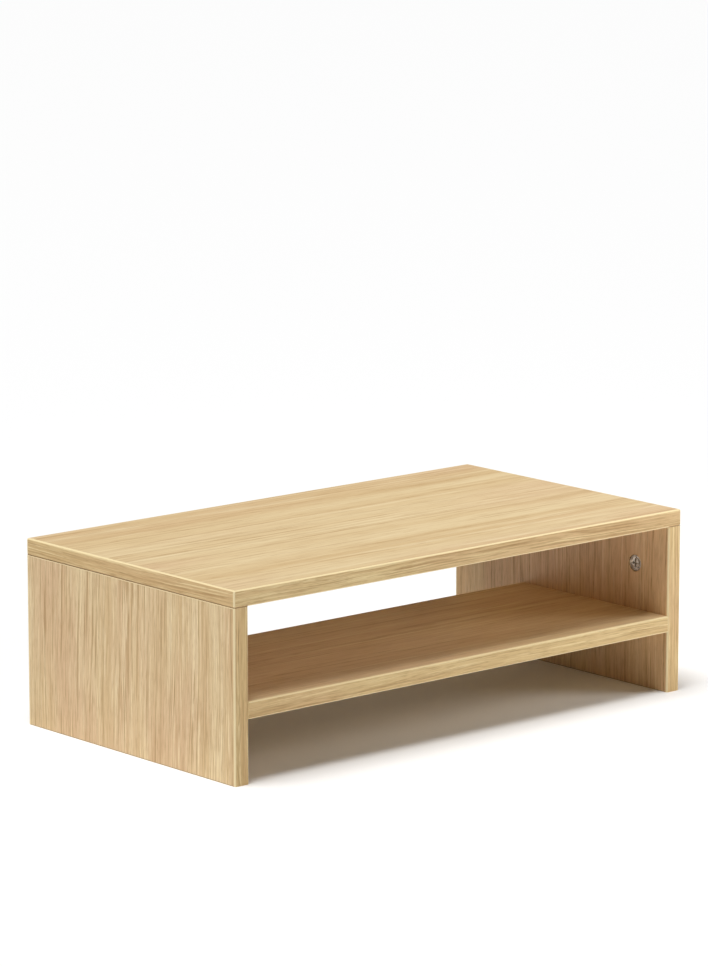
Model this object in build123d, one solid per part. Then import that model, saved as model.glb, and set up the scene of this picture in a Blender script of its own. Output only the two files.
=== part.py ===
from build123d import *
import os

os.makedirs("parts", exist_ok=True)

# A two-tier riser that lifts a monitor off a desk: a top board on two side boards, and a
# shallower shelf between the sides. The boards are particle board with melamine faces and
# edge bands. Cam locks pull them together, dowels line them up, and the back is open.
# Millimetres. X runs left to right, Y from front to back and Z up. The origin is on the
# floor under the middle of the stand.

# The whole stand
WIDTH = 420.0
DEPTH = 230.0
HEIGHT = 135.0
BOARD = 12.0  # every board, with its faces
SHELF_DEPTH = 155.0  # flush with the front, open behind for cables
SHELF_BOTTOM = 45.0  # clear height under the shelf

# What a board is made of
FACE = 0.3  # melamine face on each side of the core
BAND = 1.5  # band on each edge that shows
TAPE = 0.6  # thinner band on a side board's hidden edges, under the top and on the floor
ARRIS = 1.2  # rounding of a band's outer edges

# Places of the fittings, from the front and back edges of the board they hold
CAM_INSET = 35.0
TOP_DOWEL_INSET = 80.0

# Drilling
CAM_SETBACK = 32.0  # joint to the cam's centre
POCKET_RADIUS = 6.0
POCKET_DEPTH = 10.0
POCKET_CHAMFER = 0.5
SHANK_HOLE_RADIUS = 3.5
THREAD_HOLE_RADIUS = 2.55
THREAD_HOLE_DEPTH = 9.5
OVERCUT = 1.0  # how far a drill runs past the face it enters

# Cam: a hollow zinc drum whose off-centre wall draws the bolt's head in as it turns
CAM_RADIUS = 5.9
CAM_LENGTH = 9.1
CAM_BELOW_FACE = 0.8
CAM_CHAMFER = 0.35
HOLLOW_RADIUS = 4.6
HOLLOW_OFFSET = 0.3
HOLLOW_HALF_HEIGHT = 2.65
NECK_SLOT_HALF_HEIGHT = 1.65
NECK_SLOT_MARGIN = 25.0  # degrees of slot past the bolt at each end of the turn
CAM_TURN = 180.0  # degrees from locked to released
ENTRY_RADIUS = 2.8
RECESS_SPAN = 6.6
RECESS_ARM = 1.5
RECESS_DEPTH = 1.9
RECESS_TAPER = 8.0  # degrees
GROOVE_RADII = (3.7, 5.0)  # sunk ring between the hub and the rim of the cam's face
GROOVE_DEPTH = 0.6
ARROW_TIP = 4.7  # from the cam's axis to the tip of the mark that points at the bolt
ARROW_LENGTH = 1.2
ARROW_HALF_WIDTH = 0.7

# Cam bolt, from its joint face: thread one way, shank, neck and head the other
THREAD_LENGTH = 9.0
THREAD_CREST = 2.5
THREAD_ROOT = 1.8
THREAD_RIBS = 5
COLLAR_RADIUS = 3.2
COLLAR_LENGTH = 1.2
SHANK_RADIUS = 2.5
SHANK_LENGTH = 24.6
NECK_RADIUS = 1.5
NECK_TAPER = 1.0
HEAD_RADIUS = 2.5
HEAD_SHOULDER = 3.4  # cam's axis to the head's shoulder
HEAD_LENGTH = 2.0
HEAD_CHAMFER = 0.3

# Fluted dowel
DOWEL_RADIUS = 3.0
DOWEL_CLEARANCE = 0.05
DOWEL_DEPTHS = (21.0, 9.0)  # into the board with the cam, into the other board
DOWEL_HOLE_SPARE = 0.5
DOWEL_CHAMFER = 0.8
FLUTES = 12
FLUTE_RADIUS = 0.3

# Worked out from those
LEFT, RIGHT = -1, 1
OUTER_X = WIDTH / 2
INNER_X = OUTER_X - BOARD
FRONT_Y = -DEPTH / 2
BACK_Y = DEPTH / 2
TOP_BOTTOM = HEIGHT - BOARD
SHELF_TOP = SHELF_BOTTOM + BOARD
SHELF_BACK_Y = FRONT_Y + SHELF_DEPTH
SIDE_NAMES = {LEFT: "left", RIGHT: "right"}

nodes = {}


def slab(low, high):
    """A block between two opposite corners, given in either order."""
    size = [abs(b - a) for a, b in zip(low, high)]
    middle = [(a + b) / 2 for a, b in zip(low, high)]
    return Pos(*middle) * Box(*size)


def edge_band(low, high, outward, free_ends=()):
    """An edge band whose outer face looks along `outward`, with its long outer edges rounded.

    The ends that look along a direction in `free_ends` are rounded too.
    """
    blank = slab(low, high)
    by_depth = blank.faces().sort_by(Axis((0, 0, 0), outward))
    glued, outer = by_depth[0], by_depth[-1]
    arrises = outer.edges().sort_by(SortBy.LENGTH)[-2:]
    for direction in free_ends:
        end = blank.faces().sort_by(Axis((0, 0, 0), direction))[-1]
        arrises += end.edges() - glued.edges()
    return fillet(arrises, ARRIS)


def rod(radius, start, end):
    """A round rod along Z from start to end."""
    return Pos(0, 0, (start + end) / 2) * Cylinder(radius, abs(end - start))


# Joint frames. Each has its origin on the joint face, in the middle of the board's
# thickness. Its Z goes into the board that takes the thread, and its X to the face that
# the cam is let into.


def top_joint(side, y):
    """Frame of a fitting between the top and a side board."""
    middle = side * (OUTER_X - BOARD / 2)
    return Plane(origin=(middle, y, TOP_BOTTOM), x_dir=(-side, 0, 0), z_dir=(0, 0, 1)).location


def shelf_joint(side, y):
    """Frame of a fitting between the shelf's end and a side board."""
    middle = SHELF_BOTTOM + BOARD / 2
    return Plane(origin=(side * INNER_X, y, middle), x_dir=(0, 0, -1), z_dir=(side, 0, 0)).location


TOP_CAM_YS = {"front": FRONT_Y + CAM_INSET, "back": BACK_Y - CAM_INSET}
TOP_DOWEL_YS = (FRONT_Y + TOP_DOWEL_INSET, BACK_Y - TOP_DOWEL_INSET)
SHELF_CAM_YS = {"front": FRONT_Y + CAM_INSET, "back": SHELF_BACK_Y - CAM_INSET}
SHELF_DOWEL_Y = (FRONT_Y + SHELF_BACK_Y) / 2

top_cams = {}
shelf_cams = {}
for side, side_name in SIDE_NAMES.items():
    for end in ("front", "back"):
        top_cams[f"{end}_{side_name}"] = top_joint(side, TOP_CAM_YS[end])
        shelf_cams[f"{end}_{side_name}"] = shelf_joint(side, SHELF_CAM_YS[end])
top_dowels = [top_joint(side, y) for side in SIDE_NAMES for y in TOP_DOWEL_YS]
shelf_dowels = [shelf_joint(side, SHELF_DOWEL_Y) for side in SIDE_NAMES]

# Drills, in the joint frame

thread_hole = rod(THREAD_HOLE_RADIUS, -OVERCUT, THREAD_HOLE_DEPTH)
shank_hole = rod(SHANK_HOLE_RADIUS, -CAM_SETBACK, OVERCUT)
cam_frame = Plane(origin=(0, 0, -CAM_SETBACK), x_dir=(0, 0, 1), z_dir=(1, 0, 0)).location
pocket_mouth = Pos(0, 0, BOARD / 2) * Cone(
    POCKET_RADIUS,
    POCKET_RADIUS + 2 * POCKET_CHAMFER,
    2 * POCKET_CHAMFER,
)
pocket_bore = rod(POCKET_RADIUS, BOARD / 2 - POCKET_DEPTH, BOARD / 2)
cam_pocket = cam_frame * (pocket_bore + pocket_mouth)
dowel_hole = rod(
    DOWEL_RADIUS + DOWEL_CLEARANCE,
    -DOWEL_DEPTHS[0] - DOWEL_HOLE_SPARE,
    DOWEL_DEPTHS[1] + DOWEL_HOLE_SPARE,
)


def at_each(places, *shapes):
    """Copies of the shapes at every place."""
    return [place * shape for place in places for shape in shapes]


top_drilling = at_each(top_cams.values(), thread_hole) + at_each(top_dowels, dowel_hole)
shelf_drilling = at_each(shelf_cams.values(), shank_hole, cam_pocket) + at_each(shelf_dowels, dowel_hole)
side_drilling = (
    at_each(top_cams.values(), shank_hole, cam_pocket)
    + at_each(top_dowels, dowel_hole)
    + at_each(shelf_cams.values(), thread_hole)
    + at_each(shelf_dowels, dowel_hole)
)


def make_top():
    """The top board. Its front and back bands run over the ends of its side bands."""
    x, y = OUTER_X - BAND, BACK_Y - BAND
    core = slab((-x, -y, TOP_BOTTOM + FACE), (x, y, HEIGHT - FACE))
    lower_face = slab((-x, -y, TOP_BOTTOM), (x, y, TOP_BOTTOM + FACE))
    nodes["top_core"] = core - top_drilling
    nodes["top_upper_face"] = slab((-x, -y, HEIGHT - FACE), (x, y, HEIGHT))
    nodes["top_lower_face"] = lower_face - top_drilling
    for name, end in (("front", -1), ("back", 1)):
        nodes[f"top_{name}_edge"] = edge_band(
            (-OUTER_X, end * y, TOP_BOTTOM),
            (OUTER_X, end * BACK_Y, HEIGHT),
            (0, end, 0),
            free_ends=((-1, 0, 0), (1, 0, 0)),
        )
    for side, name in SIDE_NAMES.items():
        nodes[f"top_{name}_edge"] = edge_band(
            (side * x, -y, TOP_BOTTOM), (side * OUTER_X, y, HEIGHT), (side, 0, 0)
        )


def make_side(side, name):
    """A side board, banded all round. Its grain stands upright."""
    y = BACK_Y - BAND
    low, high = TAPE, TOP_BOTTOM - TAPE
    outer, inner = side * OUTER_X, side * INNER_X
    core_outer, core_inner = outer - side * FACE, inner + side * FACE
    core = slab((core_outer, -y, low), (core_inner, y, high))
    inner_face = slab((core_inner, -y, low), (inner, y, high))
    top_edge = slab((outer, -y, high), (inner, y, TOP_BOTTOM))
    nodes[f"{name}_side_core"] = core - side_drilling
    nodes[f"{name}_side_outer_face"] = slab((outer, -y, low), (core_outer, y, high))
    nodes[f"{name}_side_inner_face"] = inner_face - side_drilling
    nodes[f"{name}_side_top_edge"] = top_edge - side_drilling
    nodes[f"{name}_side_bottom_edge"] = slab((outer, -y, 0), (inner, y, low))
    for end_name, end in (("front", -1), ("back", 1)):
        nodes[f"{name}_side_{end_name}_edge"] = edge_band(
            (outer, end * y, 0), (inner, end * BACK_Y, TOP_BOTTOM), (0, end, 0)
        )


def make_shelf():
    """The shelf. Its ends are bare, against the side boards."""
    front, back = FRONT_Y + BAND, SHELF_BACK_Y - BAND
    core = slab((-INNER_X, front, SHELF_BOTTOM + FACE), (INNER_X, back, SHELF_TOP - FACE))
    lower_face = slab((-INNER_X, front, SHELF_BOTTOM), (INNER_X, back, SHELF_BOTTOM + FACE))
    nodes["shelf_core"] = core - shelf_drilling
    nodes["shelf_upper_face"] = slab((-INNER_X, front, SHELF_TOP - FACE), (INNER_X, back, SHELF_TOP))
    nodes["shelf_lower_face"] = lower_face - shelf_drilling
    nodes["shelf_front_edge"] = edge_band(
        (-INNER_X, FRONT_Y, SHELF_BOTTOM), (INNER_X, front, SHELF_TOP), (0, -1, 0)
    )
    nodes["shelf_back_edge"] = edge_band(
        (-INNER_X, back, SHELF_BOTTOM), (INNER_X, SHELF_BACK_Y, SHELF_TOP), (0, 1, 0)
    )


def neck_slot():
    """The slot round the cam's wall that the bolt's neck runs in, in the cam's frame."""
    reach = 2 * CAM_RADIUS
    span = CAM_TURN + 2 * NECK_SLOT_MARGIN
    wedge = make_face(
        Polyline((0, 0), (reach, 0))
        + CenterArc((0, 0), reach, 0, span)
        + Line(Vector(reach, 0).rotate(Axis.Z, span), (0, 0))
    )
    turned = Rot(0, 0, NECK_SLOT_MARGIN - span) * wedge
    return extrude(Pos(0, 0, -NECK_SLOT_HALF_HEIGHT) * turned, 2 * NECK_SLOT_HALF_HEIGHT)


def make_cam():
    """A cam, locked, in its own frame: Z out of its face, X towards the bolt."""
    face_z = BOARD / 2 - CAM_BELOW_FACE
    drum = rod(CAM_RADIUS, face_z - CAM_LENGTH, face_z)
    drum = chamfer(drum.edges().filter_by(GeomType.CIRCLE), CAM_CHAMFER)
    hollow = Pos(-HOLLOW_OFFSET, 0, 0) * rod(HOLLOW_RADIUS, -HOLLOW_HALF_HEIGHT, HOLLOW_HALF_HEIGHT)
    entry = Rot(0, -90, 0) * rod(ENTRY_RADIUS, 0, CAM_RADIUS + OVERCUT)
    cross = Rectangle(RECESS_SPAN, RECESS_ARM) + Rectangle(RECESS_ARM, RECESS_SPAN)
    recess = extrude(Pos(0, 0, face_z) * cross, -RECESS_DEPTH, taper=RECESS_TAPER)
    arrow_base = ARROW_TIP - ARROW_LENGTH
    arrow = make_face(
        Polyline(
            (ARROW_TIP, 0),
            (arrow_base, ARROW_HALF_WIDTH),
            (arrow_base, -ARROW_HALF_WIDTH),
            (ARROW_TIP, 0),
        )
    )
    hub, rim = [Circle(radius) for radius in GROOVE_RADII]
    groove = extrude(Pos(0, 0, face_z) * (rim - hub - arrow), -GROOVE_DEPTH)
    return drum - [hollow, neck_slot(), entry, recess, groove]


def make_bolt():
    """A cam bolt in the joint frame, turned from one outline of radius and height."""
    head_top = -CAM_SETBACK + HEAD_SHOULDER
    head_end = head_top - HEAD_LENGTH
    shank_end = -COLLAR_LENGTH - SHANK_LENGTH
    outline = [
        (0, head_end),
        (HEAD_RADIUS - HEAD_CHAMFER, head_end),
        (HEAD_RADIUS, head_end + HEAD_CHAMFER),
        (HEAD_RADIUS, head_top),
        (NECK_RADIUS, head_top),
        (NECK_RADIUS, shank_end),
        (SHANK_RADIUS, shank_end + NECK_TAPER),
        (SHANK_RADIUS, -COLLAR_LENGTH),
        (COLLAR_RADIUS, -COLLAR_LENGTH),
        (COLLAR_RADIUS, 0),
        (THREAD_ROOT, 0),
    ]
    pitch = THREAD_LENGTH / THREAD_RIBS
    for rib in range(THREAD_RIBS):
        base = rib * pitch
        outline.append((THREAD_ROOT, base + pitch / 4))
        outline.append((THREAD_CREST, base + pitch / 2))
        outline.append((THREAD_ROOT, base + pitch))
    outline.append((0, THREAD_LENGTH))
    outline.append((0, head_end))
    section = make_face(Polyline([(radius, 0, z) for radius, z in outline]))
    return revolve(section, Axis.Z)


def make_dowel():
    """A fluted wooden dowel in the joint frame."""
    deep, shallow = DOWEL_DEPTHS
    plain = rod(DOWEL_RADIUS, -deep, shallow)
    plain = chamfer(plain.edges().filter_by(GeomType.CIRCLE), DOWEL_CHAMFER)
    flute = rod(FLUTE_RADIUS, -deep - OVERCUT, shallow + OVERCUT)
    turns = [Rot(0, 0, step * 360 / FLUTES) for step in range(FLUTES)]
    return plain - [turn * Pos(DOWEL_RADIUS, 0, 0) * flute for turn in turns]


make_top()
for side, side_name in SIDE_NAMES.items():
    make_side(side, side_name)
make_shelf()

cam = make_cam()
for joint_name, cams in (("top", top_cams), ("shelf", shelf_cams)):
    for place_name, place in cams.items():
        nodes[f"{joint_name}_cam_{place_name}"] = place * cam_frame * cam
    nodes[f"{joint_name}_cam_bolts"] = Compound(at_each(cams.values(), make_bolt()))
nodes["top_dowels"] = Compound(at_each(top_dowels, make_dowel()))
nodes["shelf_dowels"] = Compound(at_each(shelf_dowels, make_dowel()))

for node, shape in nodes.items():
    export_step(shape, f"parts/{node}.step")
    print(node, round(shape.volume, 1))
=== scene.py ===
import math

import bpy
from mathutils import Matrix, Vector


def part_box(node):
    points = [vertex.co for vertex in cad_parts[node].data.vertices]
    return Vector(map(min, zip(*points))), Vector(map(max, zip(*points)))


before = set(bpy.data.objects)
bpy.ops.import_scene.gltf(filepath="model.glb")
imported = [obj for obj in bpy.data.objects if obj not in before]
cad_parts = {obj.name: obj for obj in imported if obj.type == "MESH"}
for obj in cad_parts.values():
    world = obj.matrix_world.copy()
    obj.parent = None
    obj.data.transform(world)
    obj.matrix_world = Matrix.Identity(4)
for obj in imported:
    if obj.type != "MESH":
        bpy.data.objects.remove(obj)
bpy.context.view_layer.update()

# A two-tier monitor riser of oak-print boards. Metres, in the CAD frame: X runs left to right,
# Y from front to back and Z up, with the origin on the floor under the middle of the stand.

# Camera: it looks at a point in the plane of the stand's front, from the front left
AZIMUTH = math.radians(-40.96)
ELEVATION = math.radians(11.17)
DISTANCE = 3.133
AIM = (-0.1043, -0.115, 0.195)
LENS = 171.9

# Light: the air's strength, a broad sun from above and a little to the left, and a weak fill
AIR = 0.08
SUN_STRENGTH = 3.35
SUN_SPREAD = math.radians(34.0)
SUN_FROM = (-0.25, 0.0, 0.97)
FILL_POWER = 2.6
FILL_SIZE = 0.3
FILL_PLACE = (0.75, -0.55, 0.3)
FILL_TARGET = (0.15, -0.1, 0.06)
WHITE = (1.0, 1.0, 1.0, 1.0)

# Floor
FLOOR_REACH = 30.0
FLOOR_COLOUR = (0.93, 0.93, 0.93, 1.0)
FLOOR_ROUGHNESS = 0.8

# Colours as the eye sees them under white light, 0 to 255: the oak print first
PALE = (250, 232, 192)
CREAM = (238, 217, 174)
HONEY = (224, 196, 149)
TAN = (180, 142, 93)
# Brown for the grain lines of the inner faces, darkened as painted shade
SHADED_BROWN = (156, 115, 70)
ROSE = (224, 188, 153)
BAND_LIP = (246, 226, 178)
# Painted shade: the dark seam on a top band's downward-facing lower corner, where shade falls in the
# joint over a side board
PAINTED_SEAM_SHADE = (192, 154, 106)
# Painted shade: the lip along each side board's bottom edge, darkened where the board stands on the
# floor
BOTTOM_LIP_SHADE = (176, 148, 108)
CHIP_DARK = (140, 104, 66)
CHIP_LIGHT = (206, 176, 130)
BEECH_DARK = (196, 152, 106)
BEECH_LIGHT = (226, 190, 148)

# How the print differs between boards and faces: its tint, how many times wider the grain is, how
# strong its lines are, and the colour of the dark ones. The inner faces' darker tint and browner lines
# are painted shade
FLAT_PRINT = {"tint": (1.0, 0.99, 0.97, 1.0), "coarseness": 2.2, "contrast": 0.55, "dark": TAN}
OUTER_PRINT = {"tint": (1.0, 0.965, 0.91, 1.0), "coarseness": 1.0, "contrast": 1.0, "dark": TAN}
# Inner faces: the same print, darker and warmer in tint and line, as painted shade for the inside of
# the stand
SHADED_INNER_PRINT = {"tint": (0.98, 0.88, 0.76, 1.0), "coarseness": 1.0, "contrast": 0.62, "dark": SHADED_BROWN}
BAND_PRINT = {"tint": (0.93, 0.87, 0.70, 1.0), "coarseness": 1.0, "contrast": 0.9, "dark": TAN}

# Layers of the print. Each is streaks, given as noise cells per metre along and across the
# grain and the noise's detail, and the two noise values between which the layer sets in.
CLOUDS = ((5.0, 22.0, 2.0), (0.38, 0.62))
BROAD_STRIPES = ((1.4, 60.0, 2.0), (0.34, 0.68))
DARK_LINES = ((3.6, 720.0, 2.0), (0.44, 0.68))
DARK_FADE = ((22.0, 300.0, 1.0), (0.34, 0.62))
LIGHT_LINES = ((4.2, 820.0, 2.0), (0.46, 0.66))
LIGHT_FADE = ((24.0, 340.0, 1.0), (0.36, 0.62))
HAIRLINES = ((60.0, 1500.0, 2.0), (0.48, 0.70))
PORES = ((110.0, 2300.0, 1.0), (0.56, 0.70))
STREAK_ROUGHNESS = 0.6

# How the lines sway: noise cells per metre along and across the grain, and the reach in metres
LONG_SWAY = (2.5, 5.0, 0.02)
SHORT_SWAY = (9.0, 40.0, 0.004)

# How much of each layer shows
STRIPE_SHARE = 0.8
CLOUD_SHARE = 0.5
DARK_SHARE = 0.85
LIGHT_SHARE = 0.95
HAIR_SHARE = 0.55
PORE_SHARE = 0.25
PORE_SHARE_IN_DARK = 0.5

# The print's surface
PRINT_GLOSS = 0.45
PRINT_ROUGHNESS = 0.42
PORE_ROUGHNESS = 0.12
DARK_ROUGHNESS = 0.06
HAIR_HEIGHT = 0.5
PRINT_RELIEF = 0.00006
PRINT_RELIEF_STRENGTH = 0.6

# An edge band's lip, and the painted shade in its seam on a side board, as cosines of the way the
# surface faces
LIP_COSINES = (0.88, 0.98)
SEAM_SHADE_COSINES = (-0.1, -0.6)
SEAM_SHADE_BLUR = 0.0005

# Raw wood: pressed chips inside the drilled holes, and the beech of the dowels
CHIPS_PER_METRE = 900.0
CHIP_GRIT_PER_METRE = 1500.0
CHIP_LIMITS = (0.05, 0.6)
CHIP_ROUGHNESS = 0.9
CHIP_RELIEF = 0.0003
FLECKS_PER_METRE = (900.0, 900.0, 120.0)
FLECK_LIMITS = (0.4, 0.7)
BEECH_ROUGHNESS = 0.7
BEECH_RELIEF = 0.00005

# Metals, each with a fine grit, and the dull patches on both
ZINC = {"colour": (218, 206, 190), "roughness": 0.24, "grit_per_metre": 5000.0, "grit_depth": 0.00001}
PLATE = {"colour": (214, 214, 210), "roughness": 0.22, "grit_per_metre": 9000.0, "grit_depth": 0.000008}
PATCHES_PER_METRE = 450.0
PATCH_DETAIL = 3.0
PATCH_LIMITS = (0.35, 0.7)
PATCH_SHARE = 0.6
PATCH_BRIGHTNESS = 0.4
PATCH_ROUGHNESS = 0.25

# Each board's print lies elsewhere in the noise
FACE_SHIFT = (0.37, 0.61, 0.13)
BAND_SHIFT = (0.29, 0.43)
BAND_DEPTH = 5.0


def linear(colour):
    """Scene-linear RGBA from an sRGB colour of 0 to 255."""
    channels = [c / 255 for c in colour]
    return [c / 12.92 if c <= 0.04045 else ((c + 0.055) / 1.055) ** 2.4 for c in channels] + [1.0]


class Graph:
    """A material's node tree, with short ways to add and join nodes."""

    def __init__(self, name):
        self.material = bpy.data.materials.new(name)
        self.material.use_nodes = True
        self.tree = self.material.node_tree
        self.shader = self.tree.nodes["Principled BSDF"]

    def add(self, kind, inputs, **settings):
        """A new node. Each input is a value, or a socket to link from."""
        node = self.tree.nodes.new(kind)
        for key, value in settings.items():
            setattr(node, key, value)
        for key, value in inputs.items():
            if isinstance(value, bpy.types.NodeSocket):
                self.tree.links.new(value, node.inputs[key])
            else:
                node.inputs[key].default_value = value
        return node

    def place(self):
        """Each point's place on its object, in metres."""
        return self.add("ShaderNodeTexCoord", {}).outputs["Object"]

    def facing(self):
        """The way the surface faces at each point."""
        return self.add("ShaderNodeTexCoord", {}).outputs["Normal"]

    def split(self, vector):
        return self.add("ShaderNodeSeparateXYZ", {0: vector}).outputs

    def combine(self, x, y, z):
        return self.add("ShaderNodeCombineXYZ", {0: x, 1: y, 2: z}).outputs[0]

    def plus(self, a, b):
        return self.add("ShaderNodeMath", {0: a, 1: b}, operation="ADD").outputs[0]

    def minus(self, a, b):
        return self.add("ShaderNodeMath", {0: a, 1: b}, operation="SUBTRACT").outputs[0]

    def times(self, a, b):
        return self.add("ShaderNodeMath", {0: a, 1: b}, operation="MULTIPLY").outputs[0]

    def absolute(self, value):
        return self.add("ShaderNodeMath", {0: value}, operation="ABSOLUTE").outputs[0]

    def scaled(self, vector, factors):
        """The vector times one factor, or times one for each axis."""
        if isinstance(factors, float):
            factors = (factors, factors, factors)
        node = self.add("ShaderNodeVectorMath", {0: vector, 1: factors}, operation="MULTIPLY")
        return node.outputs[0]

    def noise(self, vector, detail=2.0, roughness=0.5):
        """Noise of about 0 to 1 with one cell per unit of the vector."""
        inputs = {"Vector": vector, "Scale": 1.0, "Detail": detail, "Roughness": roughness}
        return self.add("ShaderNodeTexNoise", inputs).outputs["Fac"]

    def ramp(self, value, low, high):
        """0 up to low, 1 from high on and smooth between."""
        inputs = {"Value": value, "From Min": low, "From Max": high}
        node = self.add("ShaderNodeMapRange", inputs, interpolation_type="SMOOTHSTEP")
        return node.outputs[0]

    def mix(self, factor, a, b, blend="MIX"):
        """Colour a where the factor is 0, and b, blended in, where it is 1."""
        inputs = {0: factor, 6: a, 7: b}
        return self.add("ShaderNodeMix", inputs, data_type="RGBA", blend_type=blend).outputs[2]

    def to_shader(self, **sockets):
        """Sets or links the shader's inputs, with _ for a space in a name."""
        for key, value in sockets.items():
            target = self.shader.inputs[key.replace("_", " ")]
            if isinstance(value, bpy.types.NodeSocket):
                self.tree.links.new(value, target)
            else:
                target.default_value = value

    def bump(self, height, distance, strength=1.0):
        inputs = {"Height": height, "Distance": distance, "Strength": strength}
        self.to_shader(Normal=self.add("ShaderNodeBump", inputs).outputs[0])


class Grain:
    """Streaks along the grain of one board, which runs along one axis. deep is the axis through
    the board, and shift is where its print lies in the noise."""

    def __init__(self, graph, along, deep, shift, coarseness):
        self.graph = graph
        self.coarseness = coarseness
        split = graph.split(graph.place())
        across = (set("XYZ") - {along, deep}).pop()
        moved = [graph.plus(split[axis], offset) for axis, offset in zip((along, across, deep), shift)]
        self.length, self.across, self.depth = moved
        self.fibre = self.sway(SHORT_SWAY, self.sway(LONG_SWAY, self.across))

    def streaks(self, per_metre_along, per_metre_across, detail, source):
        """Noise drawn out along the grain. The source is the way across it, straight or swaying."""
        graph = self.graph
        vector = graph.combine(
            graph.times(self.length, per_metre_along / self.coarseness),
            graph.times(source, per_metre_across / self.coarseness),
            graph.times(self.depth, per_metre_across / self.coarseness),
        )
        return graph.noise(vector, detail, STREAK_ROUGHNESS)

    def sway(self, numbers, source):
        """The source with its lines swaying."""
        per_metre_along, per_metre_across, reach = numbers
        wave = self.graph.minus(self.streaks(per_metre_along, per_metre_across, 1.0, source), 0.5)
        return self.graph.plus(source, self.graph.times(wave, reach))

    def layer(self, numbers, source):
        """A layer of the print: 0 where it is absent and 1 where it is full."""
        streaks, limits = numbers
        return self.graph.ramp(self.streaks(*streaks, source), *limits)


def with_lip(graph, colour, outward, lip):
    """The colour, but the lip's colour where an edge band turns away from the way it faces."""
    inputs = {0: graph.facing(), 1: outward}
    cosine = graph.add("ShaderNodeVectorMath", inputs, operation="DOT_PRODUCT").outputs["Value"]
    return graph.mix(graph.ramp(cosine, *LIP_COSINES), linear(lip), colour)


def with_painted_seam_shade(graph, colour, seam_shade_from):
    """The colour, but with painted shade on a band's downward-facing lower corner over a side board,
    where shade falls in the joint. The side board starts the given distance to the left and right of
    the stand's middle."""
    sideways = graph.split(graph.place())["X"]
    over_side = graph.ramp(graph.absolute(sideways), seam_shade_from - SEAM_SHADE_BLUR, seam_shade_from)
    facing_down_shade = graph.ramp(graph.split(graph.facing())["Z"], *SEAM_SHADE_COSINES)
    return graph.mix(graph.times(over_side, facing_down_shade), colour, linear(PAINTED_SEAM_SHADE))


def oak(name, along, deep, shift, look, outward=None, lip=BAND_LIP, seam_shade_from=None):
    """Printed oak melamine. outward is the way an edge band faces. If a seam start is given, the band
    gets painted shade in its joint over a side board.
    """
    graph = Graph(name)
    grain = Grain(graph, along, deep, shift, look["coarseness"])
    straight, fibre = grain.across, grain.fibre
    dark, contrast = linear(look["dark"]), look["contrast"]

    darkness = graph.times(grain.layer(DARK_LINES, fibre), grain.layer(DARK_FADE, fibre))
    lightness = graph.times(grain.layer(LIGHT_LINES, fibre), grain.layer(LIGHT_FADE, straight))
    hair_noise, hair_limits = HAIRLINES
    hair = grain.streaks(*hair_noise, fibre)
    hairlines = graph.ramp(hair, *hair_limits)
    pores = grain.layer(PORES, fibre)
    pore_share = graph.plus(graph.times(darkness, PORE_SHARE_IN_DARK), PORE_SHARE)
    stripes = graph.times(grain.layer(BROAD_STRIPES, fibre), STRIPE_SHARE)
    clouds = graph.times(grain.layer(CLOUDS, straight), CLOUD_SHARE)

    colour = graph.mix(stripes, linear(HONEY), linear(CREAM))
    colour = graph.mix(clouds, colour, linear(ROSE))
    colour = graph.mix(graph.times(darkness, DARK_SHARE * contrast), colour, dark)
    colour = graph.mix(graph.times(lightness, LIGHT_SHARE * contrast), colour, linear(PALE))
    colour = graph.mix(graph.times(hairlines, HAIR_SHARE * contrast), colour, dark)
    colour = graph.mix(graph.times(pores, pore_share), colour, dark)
    colour = graph.mix(1.0, colour, look["tint"], "MULTIPLY")
    if outward is not None:
        colour = with_lip(graph, colour, outward, lip)
    # Painted shade in the seam over a side board
    if seam_shade_from is not None:
        colour = with_painted_seam_shade(graph, colour, seam_shade_from)

    rough = graph.plus(graph.times(pores, PORE_ROUGHNESS), PRINT_ROUGHNESS)
    rough = graph.plus(rough, graph.times(darkness, DARK_ROUGHNESS))
    graph.to_shader(Base_Color=colour, Roughness=rough, Specular_IOR_Level=PRINT_GLOSS)
    relief = graph.minus(graph.times(hair, HAIR_HEIGHT), pores)
    graph.bump(relief, PRINT_RELIEF, PRINT_RELIEF_STRENGTH)
    return graph.material


def particle_board():
    """Raw pressed chips, seen inside the drilled holes."""
    graph = Graph("raw_chips")
    place = graph.place()
    inputs = {"Vector": place, "Scale": CHIPS_PER_METRE}
    chips = graph.add("ShaderNodeTexVoronoi", inputs).outputs
    chip_tone = graph.add("ShaderNodeSeparateColor", {0: chips["Color"]}).outputs[0]
    grit = graph.noise(graph.scaled(place, CHIP_GRIT_PER_METRE))
    lightness = graph.ramp(graph.times(chip_tone, grit), *CHIP_LIMITS)
    colour = graph.mix(lightness, linear(CHIP_DARK), linear(CHIP_LIGHT))
    graph.to_shader(Base_Color=colour, Roughness=CHIP_ROUGHNESS)
    graph.bump(chips["Distance"], CHIP_RELIEF)
    return graph.material


def metal(name, colour, roughness, grit_per_metre, grit_depth):
    """Bare metal with a fine cast or plated grit, duller and darker in patches."""
    graph = Graph(name)
    place = graph.place()
    patch_noise = graph.noise(graph.scaled(place, PATCHES_PER_METRE), PATCH_DETAIL)
    patches = graph.ramp(patch_noise, *PATCH_LIMITS)
    bright = linear(colour)
    dull = [PATCH_BRIGHTNESS * channel for channel in bright[:3]] + [1.0]
    graph.to_shader(
        Base_Color=graph.mix(graph.times(patches, PATCH_SHARE), bright, dull),
        Metallic=1.0,
        Roughness=graph.plus(graph.times(patches, PATCH_ROUGHNESS), roughness),
    )
    graph.bump(graph.noise(graph.scaled(place, grit_per_metre)), grit_depth)
    return graph.material


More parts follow.
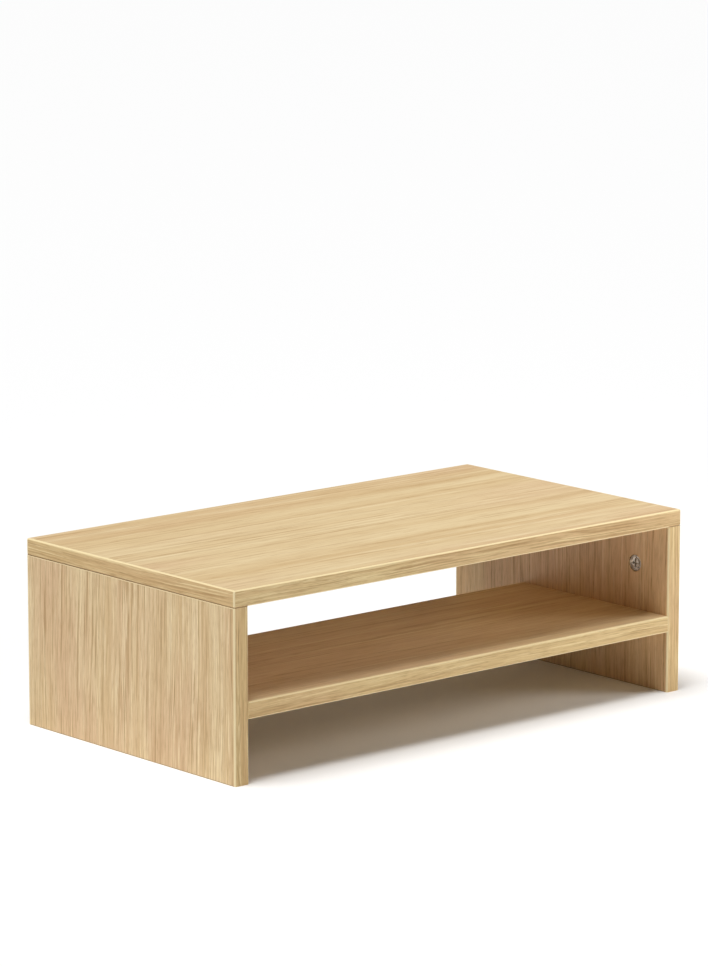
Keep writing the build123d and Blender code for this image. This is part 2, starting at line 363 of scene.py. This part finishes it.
def beech():
    """Raw turned beech with short dark flecks."""
    graph = Graph("raw_beech")
    flecks = graph.ramp(graph.noise(graph.scaled(graph.place(), FLECKS_PER_METRE)), *FLECK_LIMITS)
    colour = graph.mix(flecks, linear(BEECH_LIGHT), linear(BEECH_DARK))
    graph.to_shader(Base_Color=colour, Roughness=BEECH_ROUGHNESS)
    graph.bump(flecks, BEECH_RELIEF)
    return graph.material


def dress(node, material):
    """Gives a CAD node its material."""
    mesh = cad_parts[node].data
    mesh.materials.clear()
    mesh.materials.append(material)


# The axis of each board's grain, the axis through the board, and its print
FACES = {
    "top_upper_face": ("X", "Z", FLAT_PRINT),
    "top_lower_face": ("X", "Z", FLAT_PRINT),
    "shelf_upper_face": ("X", "Z", FLAT_PRINT),
    "shelf_lower_face": ("X", "Z", FLAT_PRINT),
    "left_side_outer_face": ("Z", "X", OUTER_PRINT),
    "left_side_inner_face": ("Z", "X", SHADED_INNER_PRINT),
    "right_side_outer_face": ("Z", "X", OUTER_PRINT),
    "right_side_inner_face": ("Z", "X", SHADED_INNER_PRINT),
}
# The axis of each band's grain, the axis through the band, and the way it faces along that
BANDS = {
    "top_front_edge": ("X", "Y", -1),
    "top_back_edge": ("X", "Y", 1),
    "top_left_edge": ("Y", "X", -1),
    "top_right_edge": ("Y", "X", 1),
    "shelf_front_edge": ("X", "Y", -1),
    "shelf_back_edge": ("X", "Y", 1),
}
for side in ("left", "right"):
    BANDS[f"{side}_side_front_edge"] = ("Z", "Y", -1)
    BANDS[f"{side}_side_back_edge"] = ("Z", "Y", 1)
    BANDS[f"{side}_side_top_edge"] = ("Y", "Z", 1)
    BANDS[f"{side}_side_bottom_edge"] = ("Y", "Z", -1)


def dress_boards():
    """Oak print on every face and band, and raw chips on the cores. The inner faces, the top's band
    seams over the sides and the bottom lips carry painted shade.
    """
    side_inner_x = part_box("right_side_inner_face")[0][0]
    for index, (node, (along, deep, look)) in enumerate(FACES.items()):
        shift = [step * index for step in FACE_SHIFT]
        dress(node, oak(f"oak_{node}", along, deep, shift, look))
    for index, (node, (along, deep, facing)) in enumerate(BANDS.items()):
        shift = [step * index for step in BAND_SHIFT] + [BAND_DEPTH]
        outward = [facing if axis == deep else 0 for axis in "XYZ"]
        # The bottom bands' lips get painted shade where the boards stand on the floor
        lip = BOTTOM_LIP_SHADE if "bottom" in node else BAND_LIP
        # The top's bands get painted shade in their seam over the side boards
        seam_shade_from = side_inner_x if node.startswith("top_") else None
        dress(node, oak(f"oak_{node}", along, deep, shift, BAND_PRINT, outward, lip, seam_shade_from))
    for node in ("top_core", "left_side_core", "right_side_core", "shelf_core"):
        dress(node, particle_board())


def dress_fittings():
    """Cast zinc cams, zinc-plated cam bolts and beech dowels."""
    zinc = metal("cast_zinc", **ZINC)
    plated = metal("zinc_plate", **PLATE)
    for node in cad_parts:
        if node.endswith("bolts"):
            dress(node, plated)
        elif "_cam_" in node:
            dress(node, zinc)
        elif node.endswith("dowels"):
            dress(node, beech())


def make_floor():
    """A plain pale floor that runs out of view."""
    corners = [(x * FLOOR_REACH, y * FLOOR_REACH, 0) for x, y in ((-1, -1), (1, -1), (1, 1), (-1, 1))]
    mesh = bpy.data.meshes.new("floor")
    mesh.from_pydata(corners, [], [(0, 1, 2, 3)])
    floor = bpy.data.objects.new("floor", mesh)
    bpy.context.scene.collection.objects.link(floor)
    graph = Graph("pale_floor")
    graph.to_shader(Base_Color=FLOOR_COLOUR, Roughness=FLOOR_ROUGHNESS)
    mesh.materials.append(graph.material)


def make_light():
    """Dim air, a broad sun, and a small fill near the right front that no board mirrors."""
    scene = bpy.context.scene
    scene.view_settings.view_transform = "Standard"
    scene.world = bpy.data.worlds.new("studio")
    scene.world.use_nodes = True
    air = scene.world.node_tree.nodes["Background"]
    air.inputs["Color"].default_value = WHITE
    air.inputs["Strength"].default_value = AIR

    sun = bpy.data.lights.new("overhead", "SUN")
    sun.energy = SUN_STRENGTH
    sun.angle = SUN_SPREAD
    overhead = bpy.data.objects.new("overhead", sun)
    overhead.rotation_euler = Vector(SUN_FROM).to_track_quat("Z", "Y").to_euler()
    scene.collection.objects.link(overhead)

    panel = bpy.data.lights.new("front_fill", "AREA")
    panel.size = FILL_SIZE
    panel.energy = FILL_POWER
    fill = bpy.data.objects.new("front_fill", panel)
    fill.location = FILL_PLACE
    beam = Vector(FILL_TARGET) - Vector(FILL_PLACE)
    fill.rotation_euler = beam.to_track_quat("-Z", "Y").to_euler()
    fill.visible_camera = False
    fill.visible_glossy = False
    scene.collection.objects.link(fill)


def make_camera():
    """The camera, on a line back from the point it looks at."""
    data = bpy.data.cameras.new("camera")
    data.lens = LENS
    camera = bpy.data.objects.new("camera", data)
    level = math.cos(ELEVATION)
    back = Vector((math.sin(AZIMUTH) * level, -math.cos(AZIMUTH) * level, math.sin(ELEVATION)))
    camera.location = Vector(AIM) + back * DISTANCE
    camera.rotation_euler = (-back).to_track_quat("-Z", "Y").to_euler()
    bpy.context.scene.collection.objects.link(camera)
    bpy.context.scene.camera = camera


dress_boards()
dress_fittings()
make_floor()
make_light()
make_camera()
